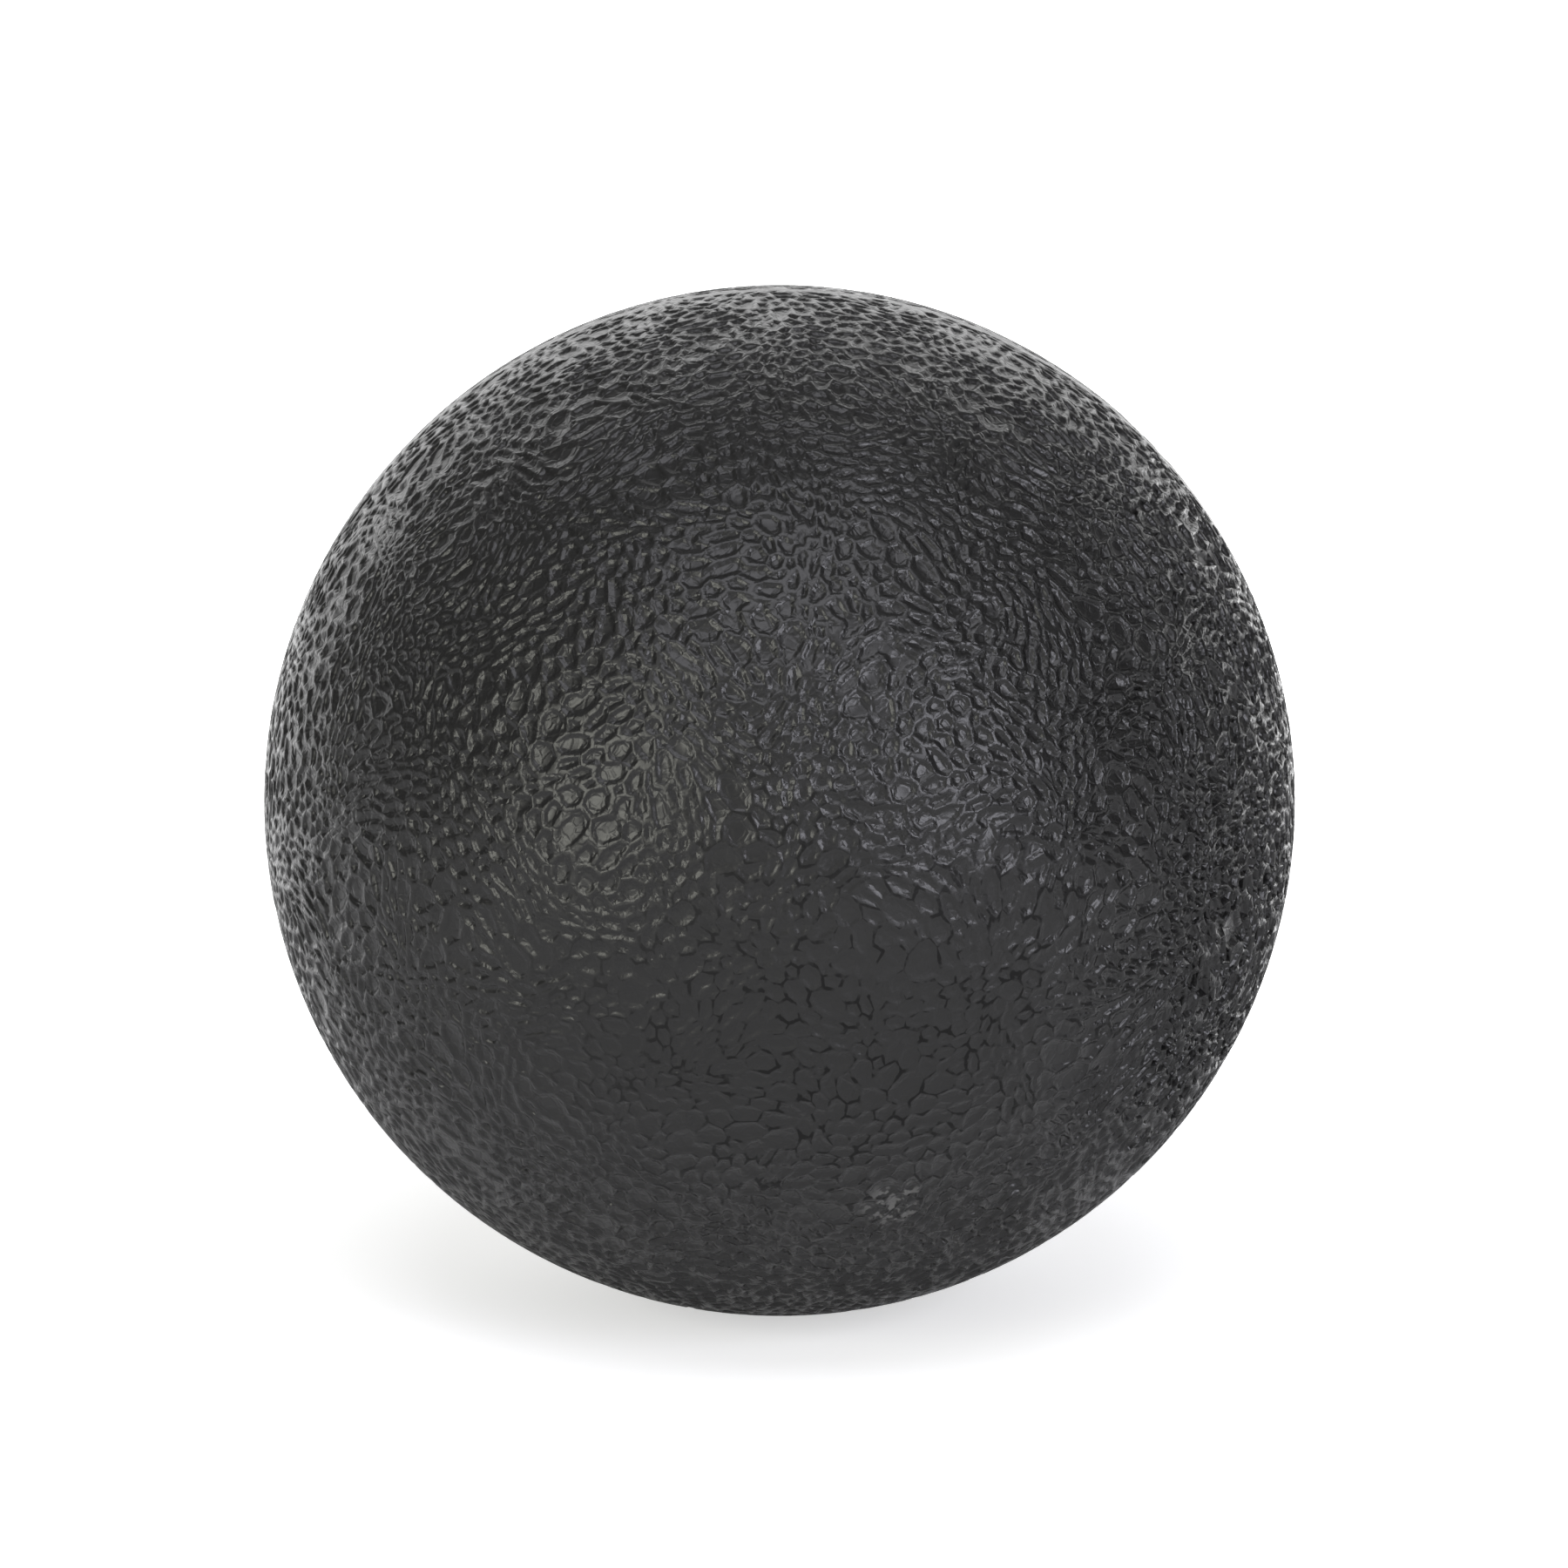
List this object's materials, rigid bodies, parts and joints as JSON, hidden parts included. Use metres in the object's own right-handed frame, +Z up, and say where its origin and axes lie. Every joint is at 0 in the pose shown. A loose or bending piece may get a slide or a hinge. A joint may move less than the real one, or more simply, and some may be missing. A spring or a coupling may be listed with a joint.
{
  "type": "lacrosse ball",
  "caption": "Solid moulded rubber lacrosse ball with a fine leather-like grain all over, made as a grained two-half cover joined round a dense core.",
  "frame": {"origin": "centre of the ball", "axes": "+Z up; +Y along the mould axis, from the front cover half towards the rear one; the parting line lies in the XZ plane"},
  "size_m": [0.0634, 0.0636, 0.0634],
  "materials": {
    "cover_rubber": "black vulcanised rubber, moulded with a net of fine rounded ridges round small pits, half matt with small soft highlights on the ridges",
    "core_rubber": "dense dark grey rubber with specks of crumb, matt",
    "rubber_cement": "thin amber rubber cement with brush marks, half gloss"
  },
  "bodies": {
    "root": {"core": "core_rubber", "cement_coat": "rubber_cement", "cover_front": "cover_rubber", "cover_rear": "cover_rubber", "parting_bead": "cover_rubber"}
  },
  "joints": []
}
